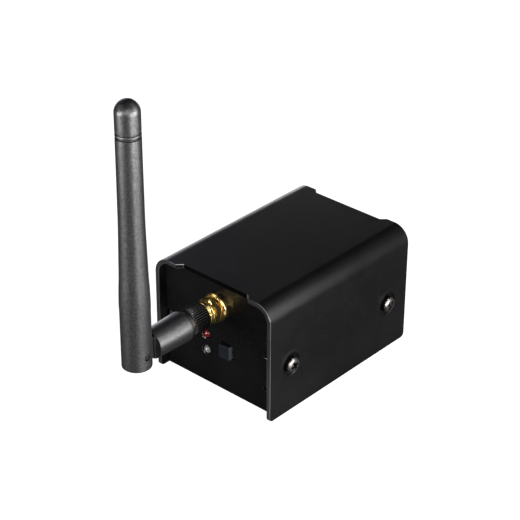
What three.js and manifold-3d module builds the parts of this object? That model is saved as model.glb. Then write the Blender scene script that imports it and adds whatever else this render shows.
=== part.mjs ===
// Bluetooth audio receiver: a small bent-steel box with a hinged screw-on
// antenna, a push button, two indicator LEDs and two 6.35 mm output jacks.
// Millimetres, +Z up. The front panel faces -Y, the rear panel +Y.
import * as THREE from "three";
import { mergeVertices } from "three/addons/utils/BufferGeometryUtils.js";
import Module from "manifold-3d";

const wasm = await Module();
wasm.setup();
const { Manifold, Mesh: SolidMesh } = wasm;

// ---------------------------------------------------------------- dimensions
const Y0 = 18.1;            // shift that puts the origin under the middle of the object

// sheet-metal cover
const CW = 50.0;            // width over the side walls
const CL = 69.2;            // length
const CH = 42.5;            // height
const CT = 1.5;             // sheet thickness
const CR = 6.0;             // outer bend radius
const NOTCH_D = 1.7;        // depth of the notch in the top's front and rear edges
const NOTCH_X0 = 13.9;      // half width of the notch at its back
const NOTCH_X1 = 15.6;      // half width of the notch at its mouth
const CORNER_R = 1.5;       // lower corners of the side walls
const SCREW_Y = 24.5;       // cover screws, from the middle
const SCREW_Z = 17.6;
const DIMPLE_R = 4.9;       // pressed dimple round each screw
const DIMPLE_D = 0.7;
const SCREW_HOLE_R = 1.8;   // clearance for an M3 screw

// chassis
const PT = 1.5;             // sheet thickness
const PF = -31.9;           // front panel's outer face
const PR = 31.9;            // rear panel's outer face
const PW = 23.2;            // half width
const PZ0 = 0.3;            // underside
const PZ1 = 40.4;           // top edge of the panels
const TAB_Z0 = 10.1, TAB_Z1 = 21.4;   // bent-back tabs that take the cover screws
const TAB_X = 20.3;         // where a tab's bend starts
const TAB_R = 2.9;          // outer bend radius of a tab
const TAB_LEN = 12.6;       // from the front panel's face to the tab's end

// front panel fittings
const LED_X = -5.0, LED_Z = [19.4, 13.4], LED_R = 1.47, LED_HOLE_R = 1.9;
const BTN_X = 4.0, BTN_Z = 17.0, BTN_W = 4.4, BTN_H = 4.8;
const BTN_OUT = 1.5;        // how far the cap stands out
const SMA_Z = 32.2;         // antenna socket's axis height

// antenna
const NUT_AF = 8.0, NUT_ROT = 21;      // socket nut
const COLLAR_R = 3.95, KNURL_R = 4.5, KNURLS = 24;
const KNUCKLE_R0 = 5.1, KNUCKLE_R = 4.82, KNUCKLE_Y0 = -48.0, KNUCKLE_Y1 = -62.05;
const WHIP_Y = -67.85;      // whip axis, and the hinge pin
const WHIP_Z0 = 27.5, WHIP_SEAM = 48.2, WHIP_TIP_Z = 107.0, WHIP_TOP = 117.0;
const TONGUE_T = 1.9, TONGUE_R = 3.7, FORK_R = 3.95, FORK_T = 2.15;
const PIN_R = 1.0;

// rear panel fittings
const JACK_X = 12.0, JACK_Z = 18.2;
const JACK_BORE_R = 3.3, BUSH_R = 4.7, BUSH_END = 36.5;
const JNUT_AF = 12.7;
const USB_Z = 12.8;

// main board
const PCB_Z = 9.4, PCB_T = 1.6, PCB_X = 20.8, PCB_Y = 29.8;
const POSTS = [[-17, -26], [17, -26], [-17, 0.5], [17, 0.5]];

// ------------------------------------------------------------------- helpers
const rad = (d) => (d * Math.PI) / 180;

// closed geometry -> solid: shared vertices merged, collapsed triangles dropped
function solid(geo) {
  const g = geo.clone();
  for (const k of Object.keys(g.attributes)) if (k !== "position") g.deleteAttribute(k);
  const m = mergeVertices(g, 1e-4);
  const src = m.index.array, tri = [];
  for (let i = 0; i < src.length; i += 3) {
    const [a, b, c] = [src[i], src[i + 1], src[i + 2]];
    if (a !== b && b !== c && a !== c) tri.push(a, b, c);
  }
  return new Manifold(new SolidMesh({
    numProp: 3,
    vertProperties: Float32Array.from(m.attributes.position.array),
    triVerts: Uint32Array.from(tri),
  }));
}

// maps local (u, v, w) with w along the given world axis
function along(axis) {
  if (axis === "x") return new THREE.Matrix4().set(0, 0, 1, 0, 1, 0, 0, 0, 0, 1, 0, 0, 0, 0, 0, 1);
  if (axis === "y") return new THREE.Matrix4().set(0, 1, 0, 0, 0, 0, 1, 0, 1, 0, 0, 0, 0, 0, 0, 1);
  return new THREE.Matrix4();
}

const block = (x0, x1, y0, y1, z0, z1) => solid(new THREE.BoxGeometry(x1 - x0, y1 - y0, z1 - z0)
  .translate((x0 + x1) / 2, (y0 + y1) / 2, (z0 + z1) / 2));

// turned body: profile of [radius, distance along the axis], about a world axis
// through c = the two other coordinates in x, y, z order
function turned(axis, profile, c, seg = 20) {
  const pts = profile.map(([r, a]) => new THREE.Vector2(r, a));
  const g = new THREE.LatheGeometry(pts, seg);          // about local Y
  if (axis === "x") { g.rotateZ(-Math.PI / 2); g.translate(0, c[0], c[1]); }
  if (axis === "y") { g.translate(c[0], 0, c[1]); }
  if (axis === "z") { g.rotateX(Math.PI / 2); g.translate(c[0], c[1], 0); }
  let s = solid(g);
  if (s.volume() < 0) {
    const i = g.index.array;
    for (let k = 0; k < i.length; k += 3) [i[k + 1], i[k + 2]] = [i[k + 2], i[k + 1]];
    s = solid(g);
  }
  return s;
}
// plain cylinder from a0 to a1
const rod = (axis, r, a0, a1, c, seg = 16) => turned(axis, [[0, a0], [r, a0], [r, a1], [0, a1]], c, seg);
// plain ring
const ring = (axis, r, hole, a0, a1, c, seg = 20) =>
  turned(axis, [[hole, a0], [r, a0], [r, a1], [hole, a1], [hole, a0]], c, seg);

// prism of a THREE.Shape; the shape's plane is XY (axis z), XZ (axis y) or YZ (axis x)
function prism(axis, shape, a0, a1, curve = 6) {
  const g = new THREE.ExtrudeGeometry(shape, { depth: a1 - a0, bevelEnabled: false, curveSegments: curve });
  g.translate(0, 0, a0);
  if (axis === "y") g.applyMatrix4(new THREE.Matrix4().set(1, 0, 0, 0, 0, 0, 1, 0, 0, 1, 0, 0, 0, 0, 0, 1));
  if (axis === "x") g.applyMatrix4(new THREE.Matrix4().set(0, 0, 1, 0, 1, 0, 0, 0, 0, 1, 0, 0, 0, 0, 0, 1));
  let s;
  if (axis === "y") {                                    // this swap mirrors, so turn the triangles over
    const p = g.index ? g.toNonIndexed() : g;
    const v = p.attributes.position.array;
    for (let k = 0; k < v.length; k += 9)
      for (let j = 0; j < 3; j++) [v[k + 3 + j], v[k + 6 + j]] = [v[k + 6 + j], v[k + 3 + j]];
    s = solid(p);
  } else s = solid(g);
  return s;
}
function poly(points) {
  const s = new THREE.Shape();
  points.forEach(([a, b], i) => (i ? s.lineTo(a, b) : s.moveTo(a, b)));
  s.closePath();
  return s;
}
function roundRect(w, h, r, cx = 0, cy = 0) {
  const s = new THREE.Shape(), x = cx - w / 2, y = cy - h / 2;
  s.moveTo(x + r, y); s.lineTo(x + w - r, y); s.absarc(x + w - r, y + r, r, -Math.PI / 2, 0, false);
  s.lineTo(x + w, y + h - r); s.absarc(x + w - r, y + h - r, r, 0, Math.PI / 2, false);
  s.lineTo(x + r, y + h); s.absarc(x + r, y + h - r, r, Math.PI / 2, Math.PI, false);
  s.lineTo(x, y + r); s.absarc(x + r, y + r, r, Math.PI, 1.5 * Math.PI, false);
  return s;
}
const hexShape = (rc, rot, cx = 0, cy = 0) => poly([0, 1, 2, 3, 4, 5].map((k) =>
  [cx + rc * Math.cos(rad(rot + 60 * k)), cy + rc * Math.sin(rad(rot + 60 * k))]));

const root = new THREE.Group();
root.name = "receiver";
root.position.set(0, Y0, 0);

function add(name, body, color, roughness, metalness) {
  const m = body.getMesh();
  const g = new THREE.BufferGeometry();
  g.setAttribute("position", new THREE.BufferAttribute(Float32Array.from(m.vertProperties), 3));
  g.setIndex(new THREE.BufferAttribute(Uint32Array.from(m.triVerts), 1));
  g.computeVertexNormals();
  const mesh = new THREE.Mesh(g, new THREE.MeshStandardMaterial({ color, roughness, metalness }));
  mesh.name = name;
  root.add(mesh);
}

const POWDER = [0x141416, 0.5, 0.1], STEEL = [0x9a9a9a, 0.35, 1.0], GOLD = [0xd8a63c, 0.25, 1.0];
const BLACK_ZINC = [0x111111, 0.35, 0.9], GREY_PLASTIC = [0x3c3c3e, 0.55, 0.0], BLACK = [0x0c0c0d, 0.45, 0.0];

// ----------------------------------------------------------------- top cover
{
  const s = new THREE.Shape(), w = CW / 2, i = CW / 2 - CT, ri = CR - CT;
  s.moveTo(-w, 0);
  s.lineTo(-i, 0);
  s.lineTo(-i, CH - CR);
  s.absarc(-w + CR, CH - CR, ri, Math.PI, Math.PI / 2, true);
  s.lineTo(w - CR, CH - CT);
  s.absarc(w - CR, CH - CR, ri, Math.PI / 2, 0, true);
  s.lineTo(i, 0);
  s.lineTo(w, 0);
  s.lineTo(w, CH - CR);
  s.absarc(w - CR, CH - CR, CR, 0, Math.PI / 2, false);
  s.lineTo(-w + CR, CH);
  s.absarc(-w + CR, CH - CR, CR, Math.PI / 2, Math.PI, false);
  s.closePath();
  let c = prism("y", s, -CL / 2, CL / 2, 5);
  for (const e of [-1, 1]) {
    const y = (e * CL) / 2;
    // notch in the top's edge
    c = c.subtract(prism("z", poly([
      [-NOTCH_X1 - 1, y + e * 1], [-NOTCH_X1, y], [-NOTCH_X0, y - e * NOTCH_D],
      [NOTCH_X0, y - e * NOTCH_D], [NOTCH_X1, y], [NOTCH_X1 + 1, y + e * 1]]), CH - CT - 1, CH + 1));
    // rounded lower corners of both walls
    const cut = block(-CW, CW, Math.min(y - e * CORNER_R, y + e), Math.max(y - e * CORNER_R, y + e), -1, CORNER_R)
      .subtract(rod("x", CORNER_R, -CW - 1, CW + 1, [y - e * CORNER_R, CORNER_R], 16));
    c = c.subtract(cut);
    // screw holes and their dimples
    for (const sx of [-1, 1]) {
      const ys = e * SCREW_Y, a = [[0, 20], [SCREW_HOLE_R, 20], [SCREW_HOLE_R, w - DIMPLE_D], [3.7, w - DIMPLE_D], [DIMPLE_R + 0.1, w + 0.1], [0, w + 0.1]];
      let h = turned("x", a, [ys, SCREW_Z], 16);
      if (sx < 0) h = h.rotate([0, 0, 180]).translate([0, 2 * ys, 0]);
      c = c.subtract(h);
    }
  }
  add("top_cover", c, ...POWDER);
}

// ------------------------------------------------------------------- chassis
{
  const R = 1.7, s = new THREE.Shape();
  s.moveTo(PF, PZ1);
  s.lineTo(PF, PZ0 + R);
  s.absarc(PF + R, PZ0 + R, R, Math.PI, 1.5 * Math.PI, false);
  s.lineTo(PR - R, PZ0);
  s.absarc(PR - R, PZ0 + R, R, 1.5 * Math.PI, 2 * Math.PI, false);
  s.lineTo(PR, PZ1);
  s.lineTo(PR - PT, PZ1);
  s.lineTo(PR - PT, PZ0 + R);
  s.absarc(PR - R, PZ0 + R, R - PT, 2 * Math.PI, 1.5 * Math.PI, true);
  s.lineTo(PF + R, PZ0 + PT);
  s.absarc(PF + R, PZ0 + R, R - PT, 1.5 * Math.PI, Math.PI, true);
  s.lineTo(PF + PT, PZ1);
  s.closePath();
  let c = prism("x", s, -PW, PW, 3);
  // both panels' upper corners follow the cover's bends
  const rc = 4.2;
  for (const sx of [-1, 1]) {
    const x = sx * PW;
    let cut = block(Math.min(x, x - sx * rc) - (sx < 0 ? 1 : 0), Math.max(x, x - sx * rc) + (sx > 0 ? 1 : 0), PF - 1, PR + 1, PZ1 - rc, PZ1 + 1)
      .subtract(rod("y", rc, PF - 2, PR + 2, [x - sx * rc, PZ1 - rc], 20));
    c = c.subtract(cut);
    for (const e of [-1, 1]) {
      const f = e < 0 ? PF : PR;
      // opening that the tab was bent from, with its relief slots
      c = c.subtract(block(Math.min(sx * 19.9, sx * (PW + 1)), Math.max(sx * 19.9, sx * (PW + 1)),
        Math.min(f + e, f - e * PT * 1.4), Math.max(f + e, f - e * PT * 1.4), TAB_Z0 - 0.9, TAB_Z1 + 0.9));
      // tab: flat start, bend, and the leg along the side wall
      const t = new THREE.Shape(), yf = PF, cy = yf + TAB_R;
      t.moveTo(19.5, yf);
      t.lineTo(TAB_X, yf);
      t.absarc(TAB_X, cy, TAB_R, -Math.PI / 2, 0, false);
      t.lineTo(PW, yf + TAB_LEN);
      t.lineTo(PW - PT, yf + TAB_LEN);
      t.lineTo(PW - PT, cy);
      t.absarc(TAB_X, cy, TAB_R - PT, 0, -Math.PI / 2, true);
      t.lineTo(19.5, yf + PT);
      t.closePath();
      let tab = prism("z", t, TAB_Z0, TAB_Z1, 4);
      tab = tab.subtract(rod("x", SCREW_HOLE_R, 15, PW + 1, [-SCREW_Y, SCREW_Z], 16));
      if (sx < 0) tab = tab.mirror([1, 0, 0]);
      if (e > 0) tab = tab.mirror([0, 1, 0]);
      c = c.add(tab);
    }
  }
  // front panel holes
  for (const z of LED_Z) c = c.subtract(rod("y", LED_HOLE_R, PF - 1, PF + PT + 1, [LED_X, z], 16));
  c = c.subtract(block(BTN_X - 2.75, BTN_X + 2.75, PF - 1, PF + PT + 1, BTN_Z - 2.9, BTN_Z + 2.9));
  c = c.subtract(rod("y", 3.35, PF - 1, PF + PT + 1, [0, SMA_Z], 20));
  // rear panel holes
  for (const x of [-JACK_X, JACK_X]) c = c.subtract(rod("y", BUSH_R + 0.25, PR - PT - 1, PR + 1, [x, JACK_Z], 20));
  c = c.subtract(prism("y", roundRect(9.8, 4.0, 1.9, 0, USB_Z), PR - PT - 1, PR + 1, 3));
  // holes for the pressed-in board standoffs
  for (const [x, y] of POSTS) c = c.subtract(rod("z", 1.7, PZ0 - 1, PZ0 + PT + 1, [x, y], 12));
  add("chassis", c, ...POWDER);
}

// ---------------------------------------------- cover screws and clinch nuts
for (const [sx, side] of [[1, "right"], [-1, "left"]]) {
  for (const [e, end] of [[-1, "front"], [1, "rear"]]) {
    const seat = CW / 2 - DIMPLE_D + 0.1, y = e * SCREW_Y;
    let s = turned("x", [[0, 19.5], [1.1, 19.5], [1.4, 20.0], [1.4, seat], [2.8, seat], [2.8, seat + 1.05],
      [2.55, seat + 1.75], [1.9, seat + 2.2], [0, seat + 2.4]], [y, SCREW_Z], 16);
    s = s.subtract(prism("x", hexShape(1.05, 0, y, SCREW_Z), seat + 1.2, seat + 3));
    let n = turned("x", [[1.65, 19.4], [3.0, 19.4], [3.2, 19.6], [3.2, PW - PT - 0.2], [1.65, PW - PT - 0.2], [1.65, 19.4]], [y, SCREW_Z], 12);
    if (sx < 0) { s = s.mirror([1, 0, 0]); n = n.mirror([1, 0, 0]); }
    add(`cover_screw_${side}_${end}`, s, ...BLACK_ZINC);
    add(`clinch_nut_${side}_${end}`, n, ...STEEL);
  }
}

// ------------------------------------------------------------ antenna socket
{
  const c = [0, SMA_Z];
  // threaded barrel with a round flange behind the panel
  add("sma_jack_body", turned("y", [[2.3, -41.0], [2.85, -41.0], [3.12, -40.7], [3.12, -30.2], [4.6, -30.2], [4.6, -28.4],
    [3.0, -28.4], [3.0, -26.6], [2.3, -26.6], [2.3, -41.0]], c, 16), ...GOLD);
  add("sma_lock_washer", ring("y", 4.75, 3.4, -32.5, PF - 0.1, c, 20), ...GOLD);
  add("sma_flat_washer", turned("y", [[3.4, -33.6], [4.45, -33.6], [4.9, -33.2], [4.9, -32.6], [3.4, -32.6], [3.4, -33.6]], c, 20), ...GOLD);
  let n = prism("y", hexShape(NUT_AF / Math.sqrt(3), NUT_ROT, 0, SMA_Z), -36.4, -34.4)
    .add(rod("y", 4.1, -34.5, -33.7, c, 16))
    .subtract(rod("y", 3.4, -37, -33, c, 16));
  add("sma_panel_nut", n, ...GOLD);
  add("sma_dielectric", ring("y", 2.1, 0.85, -38.2, -26.8, c, 12), 0xf2f2ee, 0.5, 0.0);
  add("sma_center_contact", rod("y", 0.62, -38.0, -26.6, c, 8), ...GOLD);
}

// ------------------------------------- antenna coupling: ring and its collar
{
  const c = [0, SMA_Z];
  // gold collar: thread end over the barrel, then a sleeve inside the ring
  add("antenna_coupling_collar", turned("y", [[3.35, -36.6], [3.75, -36.6], [COLLAR_R, -36.85], [COLLAR_R, -39.0], [3.7, -39.0],
    [3.7, -45.4], [3.15, -45.4], [3.15, -41.4], [3.35, -41.2], [3.35, -36.6]], c, 20), ...GOLD);
  // black ring with axial ribs
  const pts = [];
  for (let k = 0; k < KNURLS; k++) {
    const a = (k / KNURLS) * 360, q = 360 / KNURLS;
    for (const [f, r] of [[0.0, KNURL_R], [0.45, KNURL_R], [0.72, KNURL_R - 0.35]])
      pts.push([r * Math.cos(rad(a + f * q)), SMA_Z + r * Math.sin(rad(a + f * q))]);
  }
  let k = prism("y", poly(pts), -45.8, -39.2).subtract(rod("y", COLLAR_R, -47, -38, c, 20));
  add("antenna_coupling_ring", k, ...BLACK);
}

// ------------------------------------------------------------ antenna knuckle
{
  const c = [0, SMA_Z], y1 = KNUCKLE_Y1;
  let k = turned("y", [[3.1, -46.1], [3.9, -46.1], [3.9, -47.9], [4.85, KNUCKLE_Y0], [KNUCKLE_R0, KNUCKLE_Y0 - 0.3], [KNUCKLE_R, y1 + 0.25],
    [KNUCKLE_R - 0.25, y1], [0, y1], [0, -58.6], [3.1, -58.6], [3.1, -46.1]].reverse(), c, 20);
  // tongue that the whip's fork straddles, with a shoulder at its root
  k = k.add(block(-TONGUE_T, TONGUE_T, WHIP_Y, y1 + 1.5, SMA_Z - TONGUE_R, SMA_Z + TONGUE_R));
  k = k.add(rod("x", TONGUE_R, -TONGUE_T, TONGUE_T, [WHIP_Y, SMA_Z], 20));
  k = k.add(block(-2.5, 2.5, -62.6, y1 + 1.5, SMA_Z - 3.9, SMA_Z + 3.9));
  k = k.subtract(rod("x", PIN_R + 0.2, -6, 6, [WHIP_Y, SMA_Z], 12));
  // way for the coax through the knuckle's end
  k = k.subtract(rod("y", 0.95, -66.0, -57, [0, SMA_Z], 8).subtract(block(-6, 6, -70, -64.6, 25, 40)));
  add("antenna_knuckle", k, ...GREY_PLASTIC);
  // plug ferrule: nose in the socket, body inside the coupling and the knuckle
  add("antenna_plug_ferrule", turned("y", [[0.9, -38.5], [2.05, -38.5], [2.05, -41.3], [2.9, -41.3], [2.9, -58.3], [0.9, -58.3], [0.9, -38.5]].reverse(), c, 16), ...GOLD);
  add("antenna_plug_pin", turned("y", [[0, -38.25], [0.3, -38.35], [0.5, -38.7], [0.5, -44.0], [0.6, -44.0], [0.6, -47.5], [0, -47.5]].reverse(), c, 8), ...GOLD);
}

// --------------------------------------------------------------- antenna whip
{
  const c = [0, WHIP_Y];
  // fork housing: full cylinder with a slot open to the back and downwards
  let h = turned("z", [[0, WHIP_Z0], [4.55, WHIP_Z0], [4.8, WHIP_Z0 + 0.3], [4.8, WHIP_SEAM], [3.85, WHIP_SEAM], [3.85, 56.0], [0, 56.0]], c, 20);
  const px = WHIP_Y, pz = SMA_Z;
  let slot = rod("x", FORK_R, -FORK_T, FORK_T, [px, pz], 20)
    .add(block(-FORK_T, FORK_T, px, px + 8, 20, pz + FORK_R))
    .add(block(-FORK_T, FORK_T, px - FORK_R, px + 8, 20, pz));
  h = h.subtract(slot);
  // shoulder relief either side of the slot, and the back lower corner rounded about the pin
  h = h.subtract(block(-6, 6, px, px + 8, 20, pz).subtract(rod("x", 5.1, -7, 7, [px, pz], 28)));
  h = h.subtract(rod("x", PIN_R + 0.15, -6, 6, [px, pz], 12));
  h = h.subtract(rod("z", 1.1, pz, 57, c, 8));
  add("antenna_hinge_housing", h, ...GREY_PLASTIC);
  add("antenna_hinge_pin", rod("x", PIN_R, -4.4, 4.4, [px, pz], 12), ...STEEL);
  // tapering sleeve over the housing's spigot, open at both ends
  add("antenna_whip_sleeve", turned("z", [[4.1, WHIP_SEAM + 0.2], [4.85, WHIP_SEAM + 0.2], [4.79, 52.5], [4.52, 58],
    [4.26, 67.5], [4.06, 76], [3.97, 92], [3.93, 105.2], [2.9, 105.2], [2.9, 58], [4.1, 56.4], [4.1, WHIP_SEAM + 0.2]], c, 20), ...GREY_PLASTIC);
  // tip cap with its ring groove and domed end
  const tip = [[0, 101.0], [2.6, 101.0], [2.6, 105.4], [3.6, 105.4], [3.6, 105.6], [3.9, 105.7], [3.9, 106.7], [3.6, 106.8], [3.6, WHIP_TIP_Z],
    [3.92, WHIP_TIP_Z + 0.1]];
  for (let k = 0; k <= 4; k++) { const a = (k / 5) * 90; tip.push([3.92 * Math.cos(rad(a)), WHIP_TOP - 3.92 + 3.92 * Math.sin(rad(a))]); }
  tip.push([0, WHIP_TOP]);
  add("antenna_tip_cap", turned("z", tip, c, 20), ...GREY_PLASTIC);
  // coax up through the hinge housing, and the radiator above it
  add("antenna_coax", rod("z", 0.75, 37.2, 57.4, c, 8), 0x1a1a1a, 0.6, 0.0);
  add("antenna_radiator", turned("z", [[0, 57.7], [2.2, 57.7], [2.2, 78], [0.6, 78], [0.6, 100.5], [0, 100.5]], c, 10), 0xb08a3c, 0.35, 1.0);
}

// -------------------------------------------------------------- main board
{
  let b = block(-PCB_X, PCB_X, -PCB_Y, PCB_Y, PCB_Z, PCB_Z + PCB_T);
  for (const [x, y] of POSTS) b = b.subtract(rod("z", 1.7, PCB_Z - 1, PCB_Z + PCB_T + 1, [x, y], 12));
  add("main_pcb", b, 0x0f3d22, 0.5, 0.0);
  POSTS.forEach(([x, y], i) => {
    const n = ["front_left", "front_right", "middle_left", "middle_right"][i];
    // hexagon standoff with a stub pressed in the chassis bottom
    let p = prism("z", hexShape(3.1, 0, x, y), PZ0 + PT + 0.15, PCB_Z - 0.15)
      .add(rod("z", 1.5, PZ0 + 0.1, PZ0 + PT + 1, [x, y], 10))
      .subtract(rod("z", 1.55, 5.2, PCB_Z + 1, [x, y], 10));
    add(`pcb_standoff_${n}`, p, ...STEEL);
    let s = turned("z", [[0, 5.5], [1.3, 5.5], [1.3, PCB_Z + PCB_T + 0.15], [2.7, PCB_Z + PCB_T + 0.15], [2.7, 12.1], [2.1, 12.75], [0, 12.75]], [x, y], 10);
    s = s.subtract(block(x - 0.35, x + 0.35, y - 4, y + 4, 12.2, 14));
    add(`pcb_screw_${n}`, s, ...STEEL);
  });
}

// ----------------------------------------------------- LEDs and their holder
{
  add("led_holder", block(-7.4, -2.6, -27.2, -20.5, 11.2, 21.8), ...BLACK);
  const names = ["led_red", "led_clear"], cols = [0xc01018, 0xe8ecf0];
  LED_Z.forEach((z, i) => {
    const prof = [[0, -27.4], [1.85, -27.4], [1.85, -28.4], [LED_R, -28.4], [LED_R, -30.9]];
    for (let k = 1; k < 3; k++) { const a = (k / 3) * 90; prof.push([LED_R * Math.cos(rad(a)), -30.9 - LED_R * Math.sin(rad(a))]); }
    prof.push([0, -30.9 - LED_R]);
    add(names[i], turned("y", prof.reverse(), [LED_X, z], 12), cols[i], 0.15, 0.0);
  });
}

// -------------------------------------------------- push button and switch
{
  const x = BTN_X, z = BTN_Z;
  // cap with a softened front edge
  let cap = prism("y", roundRect(BTN_W, BTN_H, 0.45, x, z), PF - BTN_OUT + 0.35, -29.0, 2)
    .add(prism("y", roundRect(BTN_W - 0.5, BTN_H - 0.5, 0.45, x, z), PF - BTN_OUT, PF - BTN_OUT + 0.6, 2));
  cap = cap.subtract(block(x - 1.2, x + 1.2, -30.4, -28, z - 1.2, z + 1.2));
  add("push_button_cap", cap, ...BLACK);
  add("switch_plunger", block(x - 1.0, x + 1.0, -30.2, -25.6, z - 1.0, z + 1.0), 0x202020, 0.5, 0.0);
  let b = block(x - 3.0, x + 3.0, -27.6, -21.5, 11.2, 20.2)
    .subtract(block(x - 1.3, x + 1.3, -28, -25.3, z - 1.3, z + 1.3))
    .subtract(rod("y", 2.3, -25.4, -23.6, [x, z], 12));
  add("push_switch_body", b, 0x1b1b1d, 0.5, 0.0);
  add("switch_snap_dome", turned("y", [[0, -24.4], [1.0, -24.3], [1.9, -23.95], [2.0, -23.8], [0, -23.8]].reverse(), [x, z], 10), ...STEEL);
}

// ------------------------------------------------ bluetooth module and coax
{
  add("bluetooth_module_board", block(-13.6, -1.4, -16.5, 1.5, 11.2, 12.0), 0x113355, 0.5, 0.0);
  let can = block(-12.8, -2.2, -9.5, 0.8, 12.2, 14.4).subtract(block(-12.5, -2.5, -9.2, 0.5, 12.0, 14.1));
  add("bluetooth_shield_can", can, 0xb5b5b8, 0.3, 1.0);
  add("rf_plug", turned("z", [[0, 12.2], [1.5, 12.2], [1.5, 13.6], [0, 13.6]], [-8, -13.2], 10), ...GOLD);
  const path = new THREE.CatmullRomCurve3([[0, -26.3, 32.2], [0, -24.5, 32.2], [-0.3, -20, 31.6], [-1.6, -16.2, 27.5], [-4.0, -14.0, 21.5], [-6.8, -13.3, 17.0], [-8, -13.2, 15.0], [-8, -13.2, 13.9]]
    .map((p) => new THREE.Vector3(...p)), false, "centripetal");
  const sec = new THREE.Shape();
  for (let k = 0; k < 8; k++) { const a = rad(k * 45), p = [0.68 * Math.cos(a), 0.68 * Math.sin(a)]; k ? sec.lineTo(...p) : sec.moveTo(...p); }
  sec.closePath();
  add("rf_pigtail_coax", solid(new THREE.ExtrudeGeometry(sec, { steps: 20, extrudePath: path, bevelEnabled: false })), 0x1a1a1a, 0.6, 0.0);
}

// ------------------------------------------------------ other board parts
add("converter_chip", block(2.0, 7.0, -14.0, -7.5, 11.2, 12.3), ...BLACK);
add("voltage_regulator", block(9.5, 16.0, -20.5, -17.0, 11.2, 12.9), ...BLACK);
add("crystal_can", prism("z", roundRect(10.8, 4.4, 2.1, -13.0, -19.0), 11.2, 14.4, 4), 0xc2c2c4, 0.25, 1.0);
add("filter_capacitor", turned("z", [[0, 11.2], [3.15, 11.2], [3.15, 18.6], [2.9, 18.9], [0, 18.9]], [13, -12], 12), 0x1b2a4a, 0.4, 0.1);

// ------------------------------------------------------------ output jacks
for (const [sx, side] of [[1, "right"], [-1, "left"]]) {
  const x = sx * JACK_X, c = [x, JACK_Z];
  let j = block(x - 6.5, x + 6.5, 4.0, 30.1, 11.3, 25.2)
    .add(turned("y", [[0, 30.0], [BUSH_R, 30.0], [BUSH_R, BUSH_END - 0.3], [BUSH_R - 0.3, BUSH_END], [0, BUSH_END]], c, 20))
    .subtract(turned("y", [[0, 5.5], [JACK_BORE_R, 5.5], [JACK_BORE_R, BUSH_END - 0.4], [JACK_BORE_R + 0.5, BUSH_END + 0.1], [0, BUSH_END + 0.1]], c, 16));
  add(`output_jack_${side}`, j, ...BLACK);
  add(`output_jack_washer_${side}`, ring("y", 6.9, 4.95, PR + 0.1, PR + 0.8, c, 20), ...STEEL);
  let n = prism("y", hexShape(JNUT_AF / Math.sqrt(3), 90, x, JACK_Z), PR + 0.95, PR + 3.1)
    .intersect(turned("y", [[0, PR + 0.9], [6.9, PR + 0.9], [7.35, PR + 1.2], [7.35, PR + 2.75], [6.75, PR + 3.15], [0, PR + 3.15]], c, 24))
    .subtract(rod("y", 4.95, 30, 40, c, 20));
  add(`output_jack_nut_${side}`, n, ...STEEL);
}

// ------------------------------------------------------------- power socket
{
  let shell = prism("y", roundRect(8.94, 3.2, 1.55, 0, USB_Z), 24.6, 32.0, 3)
    .subtract(prism("y", roundRect(8.34, 2.56, 1.25, 0, USB_Z), 25.6, 33.0, 3));
  add("power_socket_shell", shell, ...STEEL);
  add("power_socket_tongue", block(-3.3, 3.3, 25.9, 31.3, USB_Z - 0.35, USB_Z + 0.35), ...BLACK);
}

export default root;
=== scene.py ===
import bpy, bmesh, math
from math import radians, sin, cos, pi, sqrt, tan, atan2, hypot
from mathutils import Vector, Matrix


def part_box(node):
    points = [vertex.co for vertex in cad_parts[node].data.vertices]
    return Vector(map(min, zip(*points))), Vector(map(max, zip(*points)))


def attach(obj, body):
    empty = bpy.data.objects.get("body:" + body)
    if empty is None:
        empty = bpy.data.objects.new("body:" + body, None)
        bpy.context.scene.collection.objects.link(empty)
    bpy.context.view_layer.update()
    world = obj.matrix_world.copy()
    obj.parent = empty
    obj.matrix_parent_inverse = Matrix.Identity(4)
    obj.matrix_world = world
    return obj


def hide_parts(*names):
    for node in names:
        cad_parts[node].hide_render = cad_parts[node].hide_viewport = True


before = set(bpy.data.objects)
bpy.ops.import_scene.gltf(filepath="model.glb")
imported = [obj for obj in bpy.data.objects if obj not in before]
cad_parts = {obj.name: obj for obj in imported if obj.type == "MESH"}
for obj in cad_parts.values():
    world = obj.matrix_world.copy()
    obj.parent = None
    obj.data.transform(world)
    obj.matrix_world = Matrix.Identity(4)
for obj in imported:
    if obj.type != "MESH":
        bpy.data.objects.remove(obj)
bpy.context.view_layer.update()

# ------------------------------------------------------------------ the frame
# Everything below is drawn in millimetres about the middle of the case (x, y)
# and the surface it stands on (z), then moved to the frame's metres.
def mid(n):
    lo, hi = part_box(n)
    return (lo + hi) / 2 * 1000
def low(n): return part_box(n)[0] * 1000
def high(n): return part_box(n)[1] * 1000

Y0 = mid("top_cover").y
def dy(v): return v - Y0
CW2, CL2, CH = high("top_cover").x, high("top_cover").y - Y0, high("top_cover").z
CT, CR = 1.5, 6.0
PF, PR = dy(low("chassis").y), dy(high("chassis").y)
PW, PZ0, PZ1, PT = high("chassis").x, low("chassis").z, high("chassis").z, 1.5
SMA_Z = mid("antenna_plug_pin").z
WHIP_Y, PIN_Z = dy(mid("antenna_hinge_pin").y), mid("antenna_hinge_pin").z
KN0, KN1 = dy(high("antenna_knuckle").y) - 1.9, -62.05
BTN = mid("push_button_cap"); BTN_X, BTN_Z = BTN.x, BTN.z
BTN_F = dy(low("push_button_cap").y)
SCREW_Y, SCREW_Z = dy(mid("cover_screw_right_rear").y), mid("cover_screw_right_rear").z
JACK = mid("output_jack_washer_right"); JACK_X, JACK_Z = JACK.x, JACK.z
USB_Z = mid("power_socket_shell").z
LEDS = [("led_red", mid("led_red")), ("led_clear", mid("led_clear"))]

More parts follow.
